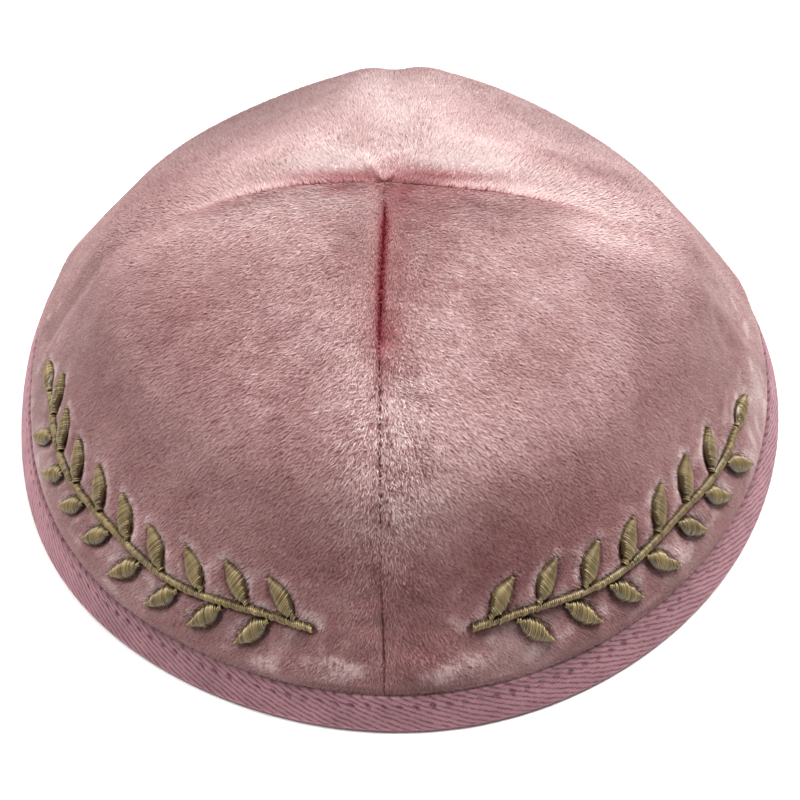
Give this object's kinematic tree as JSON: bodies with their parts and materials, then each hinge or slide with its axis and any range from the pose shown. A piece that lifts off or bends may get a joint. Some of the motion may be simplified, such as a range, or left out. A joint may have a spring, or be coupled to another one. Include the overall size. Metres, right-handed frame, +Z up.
{
  "type": "skullcap",
  "caption": "Domed velvet kippah skullcap with seamed crown panels, a folded twill binding round its rim and a raised gold leaf branch on each front panel.",
  "frame": {"origin": "on the surface that the rim rests on, under the middle of the rim", "axes": "+Z up to the crown, the front seam toward -Y between the two leaf branches, +X to the wearer's left"},
  "size_m": [0.1693, 0.1718, 0.0603],
  "materials": {
    "rose_velvet": "cut-pile velvet with a soft sheen",
    "mauve_twill": "matt twill tape",
    "gold_thread": "glossy satin-stitch thread"
  },
  "bodies": {
    "root": {"crown_panel_front_left": "rose_velvet", "crown_panel_front_right": "rose_velvet", "crown_panel_back_left": "rose_velvet", "crown_panel_back_right": "rose_velvet", "rim_binding": "mauve_twill", "leaf_branch_left": "gold_thread", "leaf_branch_right": "gold_thread"}
  },
  "joints": []
}
